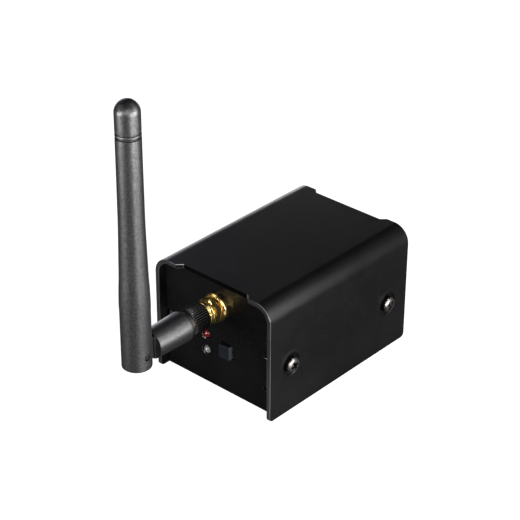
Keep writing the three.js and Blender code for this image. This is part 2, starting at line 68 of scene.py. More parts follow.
# ------------------------------------------------------------------ materials
def nodes_of(name):
    m = bpy.data.materials.new(name)
    m.use_nodes = True
    t = m.node_tree
    return m, t, t.nodes["Principled BSDF"]
def link(t, a, b): t.links.new(a, b)
def coords(t, scale=(1, 1, 1)):
    c = t.nodes.new("ShaderNodeTexCoord"); mp = t.nodes.new("ShaderNodeMapping")
    mp.inputs["Scale"].default_value = scale
    link(t, c.outputs["Object"], mp.inputs["Vector"])
    return mp.outputs["Vector"]
def noise(t, vec, scale, detail=2.0, rough=0.5, lac=2.0):
    n = t.nodes.new("ShaderNodeTexNoise")
    n.inputs["Scale"].default_value = scale; n.inputs["Detail"].default_value = detail
    n.inputs["Roughness"].default_value = rough; n.inputs["Lacunarity"].default_value = lac
    link(t, vec, n.inputs["Vector"])
    return n.outputs["Fac"]
def voronoi(t, vec, scale, feature="F1", out="Distance"):
    n = t.nodes.new("ShaderNodeTexVoronoi"); n.feature = feature
    n.inputs["Scale"].default_value = scale
    link(t, vec, n.inputs["Vector"])
    return n.outputs[out]
def ramp(t, fac, stops):
    r = t.nodes.new("ShaderNodeValToRGB")
    el = r.color_ramp.elements
    while len(el) < len(stops): el.new(0.5)
    for e, (p, c) in zip(el, stops):
        e.position = p
        e.color = (*c, 1) if len(c) == 3 else c
    link(t, fac, r.inputs["Fac"])
    return r.outputs["Color"]
def remap(t, fac, a, b, c, d):
    r = t.nodes.new("ShaderNodeMapRange")
    for k, v in (("From Min", a), ("From Max", b), ("To Min", c), ("To Max", d)):
        r.inputs[k].default_value = v
    link(t, fac, r.inputs["Value"])
    return r.outputs["Result"]
def mix(t, fac, a, b):
    n = t.nodes.new("ShaderNodeMix"); n.data_type = "RGBA"
    if isinstance(fac, float): n.inputs[0].default_value = fac
    else: link(t, fac, n.inputs[0])
    for s, v in ((n.inputs[6], a), (n.inputs[7], b)):
        if isinstance(v, tuple): s.default_value = (*v, 1)
        else: link(t, v, s)
    return n.outputs[2]
def math_node(t, op, a, b):
    n = t.nodes.new("ShaderNodeMath"); n.operation = op
    for s, v in ((n.inputs[0], a), (n.inputs[1], b)):
        if isinstance(v, (int, float)): s.default_value = v
        else: link(t, v, s)
    return n.outputs[0]
def bump(t, b, heights):
    prev = None
    for h, strength, dist in heights:
        n = t.nodes.new("ShaderNodeBump")
        n.inputs["Strength"].default_value = strength; n.inputs["Distance"].default_value = dist
        link(t, h, n.inputs["Height"])
        if prev is not None: link(t, prev, n.inputs["Normal"])
        prev = n.outputs["Normal"]
    link(t, prev, b.inputs["Normal"])

def powder(name, base, tint, rough, spec, grain=1.0, painted_sheen=0.0):
    """Fine black powder coat: close pebble grain, a slow unevenness in gloss, faint dust; painted_sheen raises the
    light dust blend on the lighter copies, as painted highlight.
    """
    m, t, b = nodes_of(name)
    v = coords(t)
    fine = noise(t, v, 5200, 2, 0.6); peb = voronoi(t, v, 2600, "SMOOTH_F1")
    slow = noise(t, v, 55, 3, 0.55); dust = noise(t, v, 900, 4, 0.7)
    c = mix(t, remap(t, slow, 0.35, 0.65, 0, 1), base, tint)
    c = mix(t, remap(t, dust, 0.62, 0.8, 0.0, 0.10 + painted_sheen), c, (0.16, 0.155, 0.15))
    link(t, c, b.inputs["Base Color"])
    r = math_node(t, "ADD", remap(t, slow, 0.3, 0.7, rough - 0.035, rough + 0.035), remap(t, fine, 0.3, 0.7, -0.04, 0.04))
    link(t, r, b.inputs["Roughness"])
    b.inputs["Specular IOR Level"].default_value = spec
    bump(t, b, [(peb, 0.22 * grain, 0.00006), (fine, 0.16 * grain, 0.00003)])
    return m

def moulded(name, c0, c1, rough, spec=0.5, grain=0.5, scale=4200, mottle=0.0):
    """Moulded plastic with a spark-eroded grain and slight tone changes."""
    m, t, b = nodes_of(name)
    v = coords(t)
    g1 = noise(t, v, scale, 3, 0.65); g2 = noise(t, v, scale * 0.33, 2, 0.5); slow = noise(t, v, 90, 3, 0.5)
    c = mix(t, remap(t, slow, 0.3, 0.7, 0, 1), c0, c1)
    c = mix(t, remap(t, g1, 0.35, 0.75, 0.0, 0.35), c, tuple(min(1, k * 1.7 + 0.01) for k in c1))
    link(t, c, b.inputs["Base Color"])
    link(t, remap(t, g1, 0.3, 0.7, rough - 0.07, rough + 0.07), b.inputs["Roughness"])
    if mottle:
        g3 = noise(t, v, 1500, 3, 0.7)
        link(t, remap(t, g3, 0.32, 0.68, spec * (1 - mottle), spec * (1 + mottle)), b.inputs["Specular IOR Level"])
    else: b.inputs["Specular IOR Level"].default_value = spec
    bump(t, b, [(g2, grain * 0.5, 0.00006), (g1, grain, 0.00004)])
    return m

def metal(name, c0, c1, rough, axis=None, spec_bump=0.15, scale=2600, stretch=30, tarnish=None):
    """Machined or plated metal: fine tool lines round an axis, tone changes, light tarnish."""
    m, t, b = nodes_of(name)
    s = {"x": (1, 1 / stretch, 1 / stretch), "y": (1 / stretch, 1, 1 / stretch), "z": (1 / stretch, 1 / stretch, 1), None: (1, 1, 1)}[axis]
    v = coords(t, s); v0 = coords(t)
    lines = noise(t, v, scale, 3, 0.6); slow = noise(t, v0, 260, 3, 0.55); spots = noise(t, v0, 1500, 3, 0.7)
    c = mix(t, remap(t, slow, 0.3, 0.7, 0, 1), c0, c1)
    if tarnish: c = mix(t, remap(t, spots, 0.6, 0.85, 0.0, 0.5), c, tarnish)
    link(t, c, b.inputs["Base Color"])
    b.inputs["Metallic"].default_value = 1.0
    link(t, remap(t, lines, 0.3, 0.7, rough * 0.75, rough * 1.3), b.inputs["Roughness"])
    bump(t, b, [(lines, spec_bump, 0.00002)])
    return m

def lens(name, colour, inner, rough=0.06, trans=0.55):
    m, t, b = nodes_of(name)
    v = coords(t)
    n = noise(t, v, 700, 2, 0.5)
    link(t, mix(t, remap(t, n, 0.3, 0.7, 0, 1), colour, inner), b.inputs["Base Color"])
    link(t, remap(t, n, 0.3, 0.7, rough, rough + 0.05), b.inputs["Roughness"])
    b.inputs["Transmission Weight"].default_value = trans
    b.inputs["IOR"].default_value = 1.5
    b.inputs["Coat Weight"].default_value = 0.4
    b.inputs["Coat Roughness"].default_value = 0.03
    return m

M = {}
M["powder"] = powder("powder_coat", (0.0018, 0.0017, 0.0020), (0.0026, 0.0025, 0.0029), 0.36, 0.33)
# a darker, less glossy copy of the coat for the front panel: painted shade
M["powder_panel"] = powder("powder_coat_panel_painted_shade", (0.0013, 0.0013, 0.0014), (0.0018, 0.0018, 0.0019), 0.30, 0.24)
# a lighter copy of the coat for the walls' cut faces: painted highlight
M["powder_cut"] = powder("powder_coat_cut_face_painted_highlight", (0.010, 0.010, 0.010), (0.017, 0.017, 0.0165), 0.34, 0.4, 0.8, 0.08)
# a much lighter copy of the coat for bevels, wall edges and tab bends: painted highlight
M["powder_edge"] = powder("powder_coat_edge_painted_highlight", (0.045, 0.045, 0.045), (0.07, 0.07, 0.068), 0.30, 0.8, 0.6, 0.10)
M["screw"] = metal("black_nickel", (0.15, 0.139, 0.134), (0.23, 0.213, 0.205), 0.36, None, 0.35, 1500, 1, (0.06, 0.06, 0.06))
# a dark copy of the screw metal: painted shade
M["screw_wall"] = metal("black_nickel_painted_shade", (0.012, 0.012, 0.013), (0.022, 0.022, 0.022), 0.45, None, 0.2)
M["zinc"] = metal("zinc_steel", (0.55, 0.55, 0.56), (0.66, 0.66, 0.66), 0.30, None, 0.2, 1500, 1, (0.3, 0.29, 0.27))
M["nickel"] = metal("nickel_plate", (0.62, 0.60, 0.57), (0.72, 0.70, 0.67), 0.20, "y", 0.2, 2200, 20, (0.35, 0.33, 0.30))
M["gold"] = metal("gold_plate", (0.95, 0.65, 0.21), (1.0, 0.76, 0.31), 0.24, "y", 0.10, 3000, 24, (0.70, 0.42, 0.12))
M["shield"] = metal("tinned_sheet", (0.60, 0.60, 0.61), (0.70, 0.70, 0.71), 0.28, "x", 0.15, 900, 12, (0.4, 0.4, 0.4))
M["brass"] = metal("bare_brass", (0.62, 0.43, 0.18), (0.72, 0.52, 0.24), 0.32, "z", 0.2, 900, 12, (0.4, 0.24, 0.1))
M["antenna"] = moulded("antenna_plastic", (0.0035, 0.0035, 0.0036), (0.0065, 0.0065, 0.0066), 0.40, 0.95, 0.85, 2600, 0.38)
M["knuckle"] = moulded("knuckle_plastic", (0.0042, 0.0041, 0.0043), (0.0055, 0.0054, 0.0057), 0.38, 0.74, 0.75, 2600, 0.32)
M["knurl"] = moulded("coupling_plastic", (0.0002, 0.0002, 0.0002), (0.0005, 0.0005, 0.0005), 0.45, 0.02, 0.2, 3600)
# a lighter, glossier copy of the ring's plastic for one face at each rib crest: painted highlight
M["knurl_edge"] = moulded("coupling_plastic_crest_painted_highlight", (0.030, 0.030, 0.030), (0.050, 0.050, 0.049), 0.26, 0.9, 0.3, 3600)
M["knurl_end"] = moulded("coupling_plastic_end", (0.003, 0.003, 0.003), (0.006, 0.006, 0.006), 0.38, 0.05, 0.3, 3600)
M["button"] = moulded("button_plastic", (0.0012, 0.0022, 0.0034), (0.0020, 0.0032, 0.0048), 0.34, 0.3, 0.22, 4200)
# a lighter copy of the button plastic for its right side: painted highlight
M["button_side"] = moulded("button_plastic_side_painted_highlight", (0.022, 0.023, 0.026), (0.032, 0.033, 0.037), 0.30, 0.6, 0.22, 4200)
M["black"] = moulded("black_plastic", (0.012, 0.012, 0.013), (0.018, 0.018, 0.019), 0.45, 0.45, 0.35, 3600)
M["jacket"] = moulded("coax_jacket", (0.014, 0.014, 0.014), (0.02, 0.02, 0.02), 0.5, 0.4, 0.3, 3000)
M["ptfe"] = moulded("ptfe", (0.8, 0.8, 0.78), (0.88, 0.88, 0.86), 0.45, 0.4, 0.2, 2400)
M["pcb"] = moulded("pcb_laminate", (0.012, 0.085, 0.03), (0.016, 0.11, 0.04), 0.35, 0.5, 0.25, 1600)
M["module"] = moulded("module_laminate", (0.01, 0.035, 0.11), (0.014, 0.05, 0.14), 0.35, 0.5, 0.25, 1600)
M["sleeve"] = moulded("capacitor_sleeve", (0.012, 0.018, 0.07), (0.02, 0.03, 0.1), 0.3, 0.5, 0.2, 1600)
M["led_red"] = lens("led_red_lens", (0.11, 0.0015, 0.004), (0.08, 0.0015, 0.003), 0.10, 0.20)
M["led_clear"] = lens("led_clear_lens", (0.15, 0.154, 0.158), (0.12, 0.124, 0.128), 0.10, 0.25)
# bright metal for small marks where edges catch the light: painted glints
M["rim"] = metal("bare_sheet_rim", (0.72, 0.72, 0.70), (0.85, 0.85, 0.82), 0.32, "y", 0.2, 1800, 12, (0.3, 0.3, 0.28))
# near-black, no gloss: painted shadow
M["shadow"] = moulded("painted_shadow_black", (0.0002, 0.0002, 0.0002), (0.0004, 0.0004, 0.0004), 0.9, 0.0, 0.2, 1500)
# near-black: the hinge pin's colour, and painted shade on the unlit part of the light holes' rims
M["dark"] = moulded("dark_pin_and_painted_shade", (0.004, 0.004, 0.004), (0.006, 0.006, 0.006), 0.7, 0.2, 0.2, 1500)

# ------------------------------------------------------------- mesh machinery
AX = {"z": lambda r, a, f, c: (c[0] + r * cos(f), c[1] + r * sin(f), a),
      "y": lambda r, a, f, c: (c[0] + r * cos(f), a, c[1] + r * sin(f)),
      "x": lambda r, a, f, c: (a, c[0] + r * cos(f), c[1] + r * sin(f))}

def fillet(pts, radii, n=4, closed=True):
    """Rounds the corners of a 2-D outline; radii is one number or one per point."""
    N = len(pts)
    if isinstance(radii, (int, float)): radii = [radii] * N
    out = []
    for i in range(N):
        p = Vector(pts[i]); r = radii[i]
        if r <= 0 or (not closed and i in (0, N - 1)):
            out.append(tuple(p)); continue
        a = Vector(pts[i - 1]) - p; b = Vector(pts[(i + 1) % N]) - p
        la, lb = a.length, b.length
        a.normalize(); b.normalize()
        ang = a.angle(b)
        if ang > pi - 0.02: out.append(tuple(p)); continue
        t = min(r / tan(ang / 2), 0.48 * la, 0.48 * lb); rr = t * tan(ang / 2)
        bis = (a + b).normalized(); cen = p + bis * (rr / sin(ang / 2))
        s = p + a * t - cen; e = p + b * t - cen
        th = s.angle(e); sg = 1 if (s.x * e.y - s.y * e.x) > 0 else -1
        for k in range(n + 1):
            q = th * k / n * sg
            out.append((cen.x + s.x * cos(q) - s.y * sin(q), cen.y + s.x * sin(q) + s.y * cos(q)))
    return out

def new_obj(name, bm):
    bmesh.ops.remove_doubles(bm, verts=bm.verts, dist=1e-5)
    bmesh.ops.recalc_face_normals(bm, faces=bm.faces)
    me = bpy.data.meshes.new(name); bm.to_mesh(me); bm.free()
    o = bpy.data.objects.new(name, me); bpy.context.scene.collection.objects.link(o)
    return o

def lathe(name, profile, axis, c, seg=96, closed=False):
    """profile: (radius, along) pairs; closed joins the last to the first (a ring)."""
    bm = bmesh.new(); rings = []
    for r, a in profile:
        if r < 1e-6: rings.append([bm.verts.new(AX[axis](0, a, 0, c))])
        else: rings.append([bm.verts.new(AX[axis](r, a, 2 * pi * k / seg, c)) for k in range(seg)])
    pairs = list(zip(rings, rings[1:])) + ([(rings[-1], rings[0])] if closed else [])
    for A, B in pairs:
        for k in range(seg):
            k2 = (k + 1) % seg
            f = [A[k % len(A)], A[k2 % len(A)], B[k2 % len(B)], B[k % len(B)]]
            f = [v for i, v in enumerate(f) if v not in f[:i]]
            if len(f) > 2:
                try: bm.faces.new(f)
                except ValueError: pass
    return new_obj(name, bm)

def extrude(name, outline, axis, a0, a1):
    """Prism of a closed 2-D outline; the outline's plane is XY (z), XZ (y) or YZ (x)."""
    put = {"z": lambda u, v, w: (u, v, w), "y": lambda u, v, w: (u, w, v), "x": lambda u, v, w: (w, u, v)}[axis]
    bm = bmesh.new()
    A = [bm.verts.new(put(u, v, a0)) for u, v in outline]; B = [bm.verts.new(put(u, v, a1)) for u, v in outline]
    bm.faces.new(A); bm.faces.new(list(reversed(B)))
    for k in range(len(A)):
        k2 = (k + 1) % len(A)
        bm.faces.new([A[k], A[k2], B[k2], B[k]])
    return new_obj(name, bm)

def cuboid(name, x0, x1, y0, y1, z0, z1):
    return extrude(name, [(x0, y0), (x1, y0), (x1, y1), (x0, y1)], "z", z0, z1)
def cyl(name, axis, r, a0, a1, c, seg=64):
    return lathe(name, [(0, a0), (r, a0), (r, a1), (0, a1)], axis, c, seg)

def applied(o):
    dg = bpy.context.evaluated_depsgraph_get()
    me = bpy.data.meshes.new_from_object(o.evaluated_get(dg))
    o.modifiers.clear(); old = o.data; o.data = me; bpy.data.meshes.remove(old)
    return o
def boolean(o, cutters, op="DIFFERENCE"):
    for c in cutters if isinstance(cutters, (list, tuple)) else [cutters]:
        m = o.modifiers.new("b", "BOOLEAN"); m.operation = op; m.object = c; m.solver = "EXACT"
        applied(o)
        bpy.data.objects.remove(c)
    return o
def bevel(o, width, seg=3, angle=30, mat=-1):
    m = o.modifiers.new("v", "BEVEL"); m.width = width; m.segments = seg; m.limit_method = "ANGLE"
    m.angle_limit = radians(angle); m.material = mat; m.use_clamp_overlap = True
    m.miter_outer = "MITER_ARC"
    return applied(o)
def tidy(o, dist=0.002):
    bm = bmesh.new(); bm.from_mesh(o.data)
    bmesh.ops.remove_doubles(bm, verts=bm.verts, dist=dist)
    bmesh.ops.dissolve_degenerate(bm, dist=dist, edges=bm.edges)
    bm.to_mesh(o.data); bm.free()
    return o
def rounded_hex(rc, rot, cx, cz, r=0.12):
    return fillet([(cx + rc * cos(radians(rot + 60 * k)), cz + rc * sin(radians(rot + 60 * k))) for k in range(6)], r, 3)
def rrect(w, h, r, cx=0, cz=0, n=6):
    return fillet([(cx - w / 2, cz - h / 2), (cx + w / 2, cz - h / 2), (cx + w / 2, cz + h / 2), (cx - w / 2, cz + h / 2)], r, n)

def settle(o, body, mats, replaced=(), smooth=35, wn=True):
    """Moves a finished piece from millimetres to the frame and gives it its place in the model."""
    o.data.transform(Matrix.Scale(0.001, 4) @ Matrix.Translation((0, Y0, 0)))
    mats = mats if isinstance(mats, (list, tuple)) else [mats]
    for i, m in enumerate(mats):
        if i < len(o.data.materials): o.data.materials[i] = m
        else: o.data.materials.append(m)
    o.data.polygons.foreach_set("use_smooth", [True] * len(o.data.polygons))
    o.data.set_sharp_from_angle(angle=radians(smooth))
    if wn:
        w = o.modifiers.new("wn", "WEIGHTED_NORMAL"); w.keep_sharp = True; w.weight = 80
    o.data.update()
    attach(o, body)
    if replaced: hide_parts(*replaced)
    return o

# ------------------------------------------------------------------ top cover
def cover():
    w, n = CW2, 22
    def arc(cx, cz, r, a0, a1): return [(cx + r * cos(radians(a0 + (a1 - a0) * k / n)), cz + r * sin(radians(a0 + (a1 - a0) * k / n))) for k in range(n + 1)]
    out = [(w, 0)] + arc(w - CR, CH - CR, CR, 0, 90) + arc(-w + CR, CH - CR, CR, 90, 180) + [(-w, 0), (-w + CT, 0)] \
        + arc(-w + CR, CH - CR, CR - CT, 180, 90) + arc(w - CR, CH - CR, CR - CT, 90, 0) + [(w - CT, 0)]
    o = extrude("cover_sheet", out, "y", -CL2, CL2)
    for e in (-1, 1):
        y = e * CL2
        pts = [(-17.4, y + e * 1.8), (-15.6, y), (-13.9, y - e * 1.7), (13.9, y - e * 1.7), (15.6, y), (17.4, y + e * 1.8)]
        boolean(o, extrude("c", fillet(pts, [0, 0.35, 0.8, 0.8, 0.35, 0], 4), "z", CH - CT - 2, CH + 2))
        r = 1.5
        for sx in (-1, 1):
            arcpts = [(y - e * r + e * r * cos(radians(a)), r - r * sin(radians(a))) for a in range(0, 91, 9)]
            corner = [(y + e * 2, r)] + arcpts + [(y - e * r, -2), (y + e * 2, -2)]
            boolean(o, extrude("c", corner, "x", sx * w - 3, sx * w + 3))
    # pressed dimple and hole for each screw
    for sx in (-1, 1):
        for e in (-1, 1):
            lip = [(3.5, w - 0.4), (3.9, w + 0.06), (4.0, w + 0.12), (4.15, w + 0.15), (4.35, w + 0.15), (4.6, w + 0.12), (4.9, w + 0.07), (5.2, w + 0.02), (5.4, w - 0.03), (5.4, w - 0.4)]
            boolean(o, lathe("c", [(r, sx * a) for r, a in lip], "x", (e * abs(SCREW_Y), SCREW_Z), 64, True), "UNION")
            prof = [(0, w - 4), (1.8, w - 4), (1.8, w - 0.72), (3.05, w - 0.72), (3.3, w - 0.66), (3.6, w - 0.45), (3.8, w - 0.15), (3.9, w + 0.05), (3.95, w + 0.12), (4.0, w + 0.2), (4.0, w + 2), (0, w + 2)]
            prof = [(r, sx * a) for r, a in prof]
            boolean(o, lathe("c", prof, "x", (e * abs(SCREW_Y), SCREW_Z), 64))
    tidy(o)
    o.data.materials.append(M["powder"]); o.data.materials.append(M["powder_edge"])
    # the bevel faces take the lighter copy of the coat: painted highlight along the edges
    bevel(o, 0.22, 3, 50, 1)
    # the notch's cut face is painted black as its shadow, painted glints sit on its corner bevels, and the walls' cut
    # faces take a lighter copy of the coat as painted highlight
    for p in o.data.polygons:
        ax, ay = abs(p.center.x), abs(p.center.y)
        if ay > CL2 - 2.2 and ax < 13.5 and p.center.z > CH - CT - 0.1:
            p.material_index = 2 if abs(p.normal.y) > 0.35 else 0
        elif p.material_index == 1 and ay > CL2 - 2.2 and 13.5 <= ax < 16.2 and p.center.z > CH - 0.5: p.material_index = 3
        elif ay > CL2 - 0.1 and abs(p.normal.y) > 0.95: p.material_index = 4
    settle(o, "case", [M["powder"], M["powder_edge"], M["shadow"], M["rim"], M["powder_cut"]], ["top_cover"], 40)

# -------------------------------------------------------------------- chassis
def chassis():
    R, n = 1.7, 10
    def arc(cy, cz, r, a0, a1): return [(cy + r * cos(radians(a0 + (a1 - a0) * k / n)), cz + r * sin(radians(a0 + (a1 - a0) * k / n))) for k in range(n + 1)]
    out = [(PF, PZ1)] + arc(PF + R, PZ0 + R, R, 180, 270) + arc(PR - R, PZ0 + R, R, 270, 360) + [(PR, PZ1), (PR - PT, PZ1)] \
        + arc(PR - R, PZ0 + R, R - PT, 360, 270) + arc(PF + R, PZ0 + R, R - PT, 270, 180) + [(PF + PT, PZ1)]
    o = extrude("chassis_sheet", out, "x", -PW, PW)
    rc = 4.2
    for sx in (-1, 1):
        x = sx * PW
        arcpts = [(x - sx * rc + sx * rc * cos(radians(a)), PZ1 - rc + rc * sin(radians(a))) for a in range(0, 91, 6)]
        boolean(o, extrude("c", [(x + sx * 2, PZ1 - rc)] + arcpts + [(x - sx * rc, PZ1 + 2), (x + sx * 2, PZ1 + 2)], "y", PF - 3, PR + 3))
        for e in (-1, 1):
            f = PF if e < 0 else PR
            # opening of the tab with rounded relief slots
            u0, u1 = sorted((sx * 19.9, sx * (PW + 3)))
            pts = [(u0, 9.2), (u1, 9.2), (u1, 22.3), (u0, 22.3)]
            rr = [0.42, 0, 0, 0.42] if sx > 0 else [0, 0.42, 0.42, 0]
            y0, y1 = sorted((f + e * 1, f - e * PT * 1.5))
            boolean(o, extrude("c", fillet(pts, rr, 5), "y", y0, y1))
            ts = []
            cy = f - e * 2.9
            k = 12
            outer = [(sx * (20.3 + 2.9 * cos(radians(a))), cy - (-e) * 2.9 * sin(radians(a)) * 1.0) for a in [(-90 + 90 * i / k) for i in range(k + 1)]]
            inner = [(sx * (20.3 + 1.4 * cos(radians(a))), cy - (-e) * 1.4 * sin(radians(a)) * 1.0) for a in [(90 * -i / k) for i in range(k + 1)]]
            # for the front panel (e = -1) the bend's middle lies behind the panel's face
            outer = [(px, f - e * 2.9 + e * 2.9 * sin(radians(90 - 90 * i / k))) for i, (px, _) in enumerate(outer)]
            inner = [(px, f - e * 2.9 + e * 1.4 * sin(radians(90 * i / k))) for i, (px, _) in enumerate(inner)]
            tab = [(sx * 19.2, f)] + outer + [(sx * PW, f - e * 12.6), (sx * (PW - PT), f - e * 12.6)] + inner + [(sx * 19.2, f - e * PT)]
            t = extrude("c", tab, "z", 10.1, 21.4)
            # clearance hole for the cover screw through the tab
            boolean(t, cyl("h", "x", 1.8, 15 * sx, 26 * sx, (e * abs(SCREW_Y), SCREW_Z), 48))
            boolean(o, t, "UNION")
    for _, p in LEDS: boolean(o, cyl("c", "y", 1.9, PF - 2, PF + PT + 2, (p.x, p.z), 48))
    boolean(o, extrude("c", rrect(5.5, 5.8, 0.25, BTN_X, BTN_Z, 3), "y", PF - 2, PF + PT + 2))
    boolean(o, cyl("c", "y", 3.35, PF - 2, PF + PT + 2, (0, SMA_Z), 64))
    for sx in (-1, 1): boolean(o, cyl("c", "y", 4.95, PR - PT - 2, PR + 2, (sx * JACK_X, JACK_Z), 64))
    boolean(o, extrude("c", rrect(9.8, 4.0, 1.95, 0, USB_Z, 8), "y", PR - PT - 2, PR + 2))
    for n_ in ("front_left", "front_right", "middle_left", "middle_right"):
        p = mid("pcb_standoff_" + n_)
        boolean(o, cyl("c", "z", 1.7, PZ0 - 1, PZ0 + PT + 1, (p.x, dy(p.y)), 32))
    tidy(o)
    o.data.materials.append(M["powder_panel"]); o.data.materials.append(M["powder_edge"])
    # the bevel faces take the lighter copy of the coat: painted highlight along the edges
    bevel(o, 0.14, 2, 50, 1)
    for p in o.data.polygons:
        c = p.center
        for _, q in LEDS:                          # painted glint on the lower-left of each light hole's front rim, painted shade on the rest of the rim
            if c.y < PF + PT + 0.2 and hypot(c.x - q.x, c.z - q.z) < 2.06:
                lit = c.x < q.x - 0.3 and c.z < q.z + 1.3 and c.y < PF + 0.15
                p.material_index = 2 if lit else 3
        # painted glints at the relief slots' corners
        if c.y < PF + 0.3 and p.material_index == 1 and min(hypot(abs(c.x) - 20.2, c.z - 21.9), hypot(abs(c.x) - 20.2, c.z - 9.6)) < 0.9: p.material_index = 2
        # the tab bends take the lighter copy: painted highlight
        if c.y < PF + 3 and 10.1 < c.z < 21.4 and abs(c.x) > 20.9 and p.normal.y < -0.05: p.material_index = 1
    settle(o, "case", [M["powder_panel"], M["powder_edge"], M["rim"], M["dark"]], ["chassis"], 40)

# --------------------------------------------------------------- cover screws
def screws():
    for side, sx in (("right", 1), ("left", -1)):
        for end, e in (("front", -1), ("rear", 1)):
            w = CW2 - 0.72 + 0.1
            top = high(f"cover_screw_{side}_{end}").x if sx > 0 else -low(f"cover_screw_{side}_{end}").x
            prof = [(0, 19.5), (1.1, 19.5), (1.4, 19.9), (1.4, w), (2.7, w), (2.8, w + 0.08), (2.8, w + 1.0)]
            for k in range(1, 12):
                a = radians(90 * k / 12)
                prof.append((1.3 + 1.5 * cos(a), w + 1.0 + (top - 0.1 - w - 1.0) * sin(a)))
            prof += [(1.3, top - 0.1), (0.8, top - 0.03), (0, top)]
            o = lathe(f"cover_screw_{side}_{end}_head", [(r, sx * a) for r, a in prof], "x", (e * abs(SCREW_Y), SCREW_Z), 72)
            # cross recess, tapering to its bottom
            turn = {("right", "front"): 22, ("right", "rear"): 58, ("left", "front"): 10, ("left", "rear"): 40}[(side, end)]
            for a0 in (0, 90):
                a = radians(turn + a0); u = Vector((cos(a), sin(a))); v = Vector((-sin(a), cos(a)))
                bm = bmesh.new(); vs = []
                for depth, L, T in ((-0.2, 1.75, 0.50), (1.5, 0.75, 0.34)):
                    x = sx * (top - depth)
                    vs.append([bm.verts.new((x, e * abs(SCREW_Y) + u.x * p + v.x * q, SCREW_Z + u.y * p + v.y * q)) for p, q in ((-L, -T), (L, -T), (L, T), (-L, T))])
                bm.faces.new(vs[0]); bm.faces.new(list(reversed(vs[1])))
                for k in range(4): bm.faces.new([vs[0][k], vs[0][(k + 1) % 4], vs[1][(k + 1) % 4], vs[1][k]])
                boolean(o, new_obj("c", bm))
            tidy(o, 0.001)
            bevel(o, 0.06, 2, 40)
            # the head's side, the bottom of the cross recess and the shank take the dark copy: painted shade
            for p in o.data.polygons:
                rr = hypot(p.center.y - e * abs(SCREW_Y), p.center.z - SCREW_Z)
                wall = abs(p.normal.x) < 0.5 and rr > 2.5
                deep = rr < 1.7 and top - abs(p.center.x) > 0.16
                if wall or deep or abs(p.center.x) < w + 0.02: p.material_index = 1
            settle(o, "case", [M["screw"], M["screw_wall"]], [f"cover_screw_{side}_{end}"], 40)

# ------------------------------------------------------------- antenna socket
def socket():
    c = (0, SMA_Z)
    # toothed lock washer
    bm = bmesh.new(); ns = 16; seg = ns * 8
    st = [(3.4, -32.05), (3.4, -32.45), (4.2, -32.5), (4.75, -32.5), (4.75, -32.05)]
    rings = []
    for r, a in st:
        ring = []
        for k in range(seg):
            f = 2 * pi * k / seg; tooth = (k % 8) < 4
            rr = r if r < 4.5 else (4.75 if tooth else 4.45)
            ring.append(bm.verts.new(AX["y"](rr, a + (0.08 if (not tooth and r > 4.5 and a < -32.3) else 0), f, c)))
        rings.append(ring)
    for A, B in zip(rings, rings[1:] + rings[:1]):
        for k in range(seg): bm.faces.new([A[k], A[(k + 1) % seg], B[(k + 1) % seg], B[k]])
    settle(new_obj("sma_lock_washer_toothed", bm), "case", [M["gold"]], ["sma_lock_washer"], 30, False)
    prof = fillet([(3.4, -33.6), (4.3, -33.6), (4.9, -33.1), (4.9, -32.6), (3.4, -32.6)], [0.05, 0.3, 0.3, 0.1, 0.05], 6)
    settle(lathe("sma_flat_washer_turned", prof, "y", c, 96, True), "case", [M["gold"]], ["sma_flat_washer"])
    # hexagon nut with chamfered corners and a round collar
    rc = 8.0 / sqrt(3)
    o = extrude("sma_panel_nut_hex", rounded_hex(rc, 21, 0, SMA_Z, 0.1), "y", -36.4, -34.4)
    cone = [(0, -36.4), (3.95, -36.4), (4.66, -36.0), (4.66, -34.75), (4.15, -34.4), (0, -34.4)]
    boolean(o, lathe("c", cone, "y", c, 96), "INTERSECT")
    boolean(o, lathe("c", [(0, -34.6), (4.1, -34.6), (4.1, -33.82), (3.98, -33.7), (0, -33.7)], "y", c, 96), "UNION")
    boolean(o, lathe("c", [(0, -37), (3.75, -37), (3.75, -36.4), (3.4, -36.05), (3.4, -33), (0, -33)], "y", c, 72))
    tidy(o); bevel(o, 0.14, 3, 25)
    settle(o, "case", [M["gold"]], ["sma_panel_nut"], 30)
    # barrel with its thread rings
    prof = [(2.3, -41.0), (2.8, -41.0)]
    a = -40.75
    while a < -30.7:
        prof += [(2.86, a), (3.12, a + 0.22), (3.12, a + 0.32), (2.86, a + 0.54)]; a += 0.7
    prof += [(3.1, -30.3), (3.12, -30.2), (4.5, -30.2), (4.6, -30.1), (4.6, -28.5), (4.5, -28.4), (3.0, -28.4), (3.0, -26.7), (2.9, -26.6), (2.3, -26.6)]
    settle(lathe("sma_jack_barrel", prof, "y", c, 64, True), "case", [M["gold"]], ["sma_jack_body"], 25, False)

